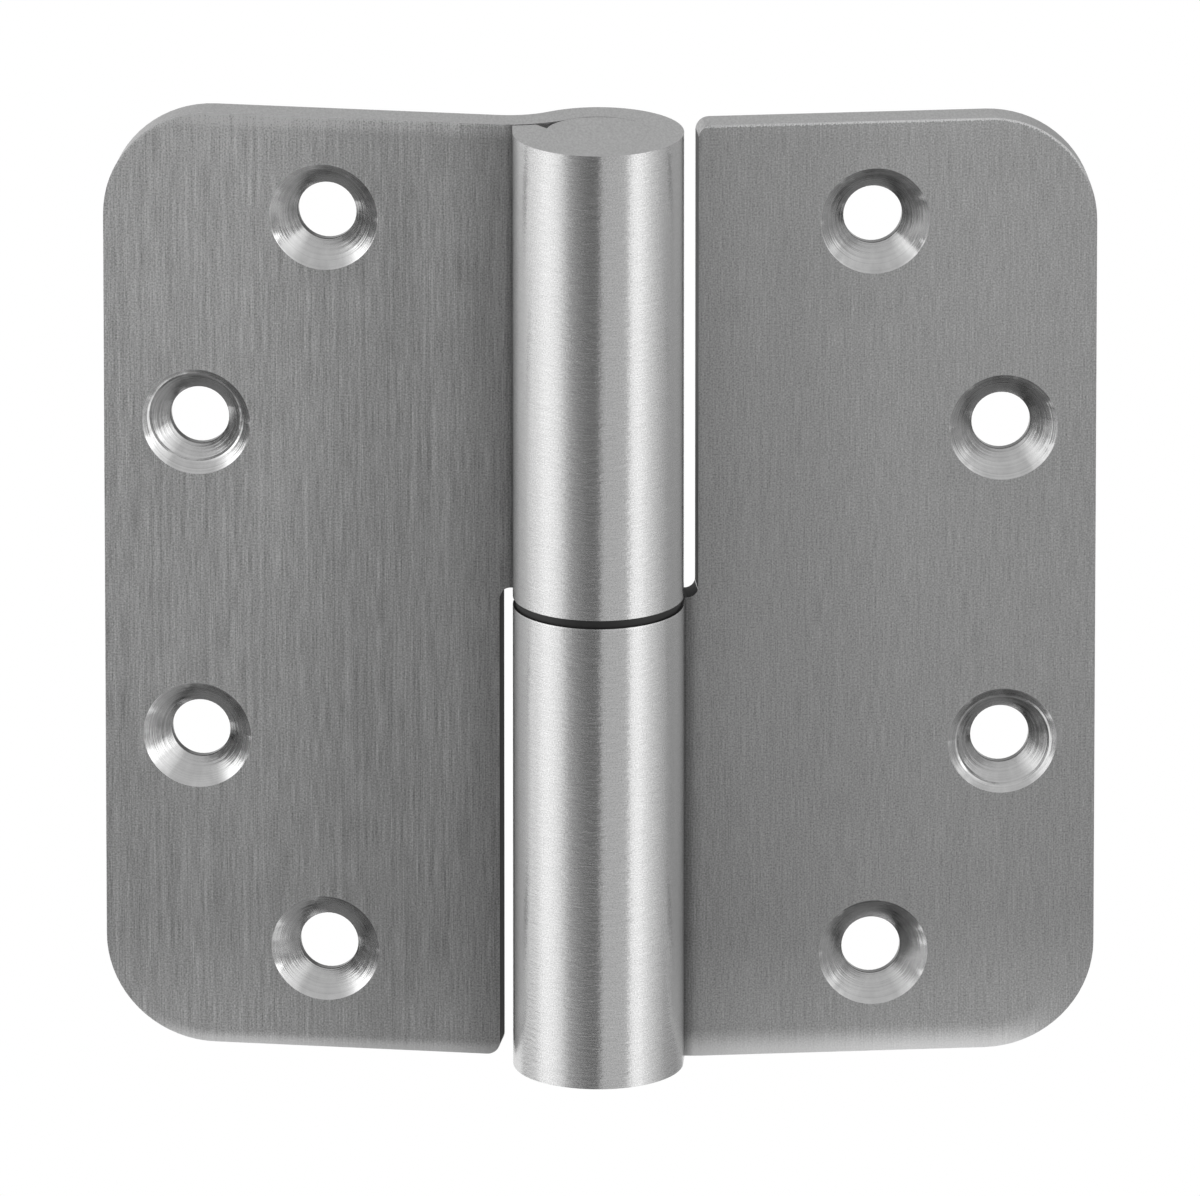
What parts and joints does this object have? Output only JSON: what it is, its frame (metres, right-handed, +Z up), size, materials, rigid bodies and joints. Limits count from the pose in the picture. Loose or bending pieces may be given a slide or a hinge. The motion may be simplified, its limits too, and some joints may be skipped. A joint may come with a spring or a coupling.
{
  "type": "paumelle hinge",
  "caption": "Lift-off hinge of rolled stainless sheet: two round-cornered countersunk leaves, one on a fixed pin, the other turning on a black washer and lifting off upwards.",
  "frame": {"origin": "on the frame leaf's back face, in the middle of its four screw holes, at mid-height", "axes": "+X from the pin towards the frame leaf's outer edge, +Y out of the frame leaf's back face into what it is screwed to, +Z up along the pin"},
  "size_m": [0.0899, 0.0224, 0.089],
  "materials": {
    "brushed_stainless": "brushed along the pin on the leaves and round the knuckles",
    "turned_stainless": "turned and ground flush",
    "black_polymer": "matt moulded"
  },
  "bodies": {
    "frame": {"frame_leaf": "brushed_stainless", "hinge_pin": "turned_stainless"},
    "washer": {"bearing_washer": "black_polymer"},
    "door": {"door_leaf": "brushed_stainless", "top_plug": "turned_stainless"}
  },
  "joints": [
    {"name": "swing", "type": "hinge", "parent": "frame", "child": "washer", "pos_m": [-0.0313, -0.004, 0], "axis": [0, 0, 1], "range_deg": [-116.4, 193.6]},
    {"name": "lift_off", "type": "slide", "parent": "washer", "child": "door", "axis": [0, 0, 1], "range_m": [0, 0.045]}
  ]
}
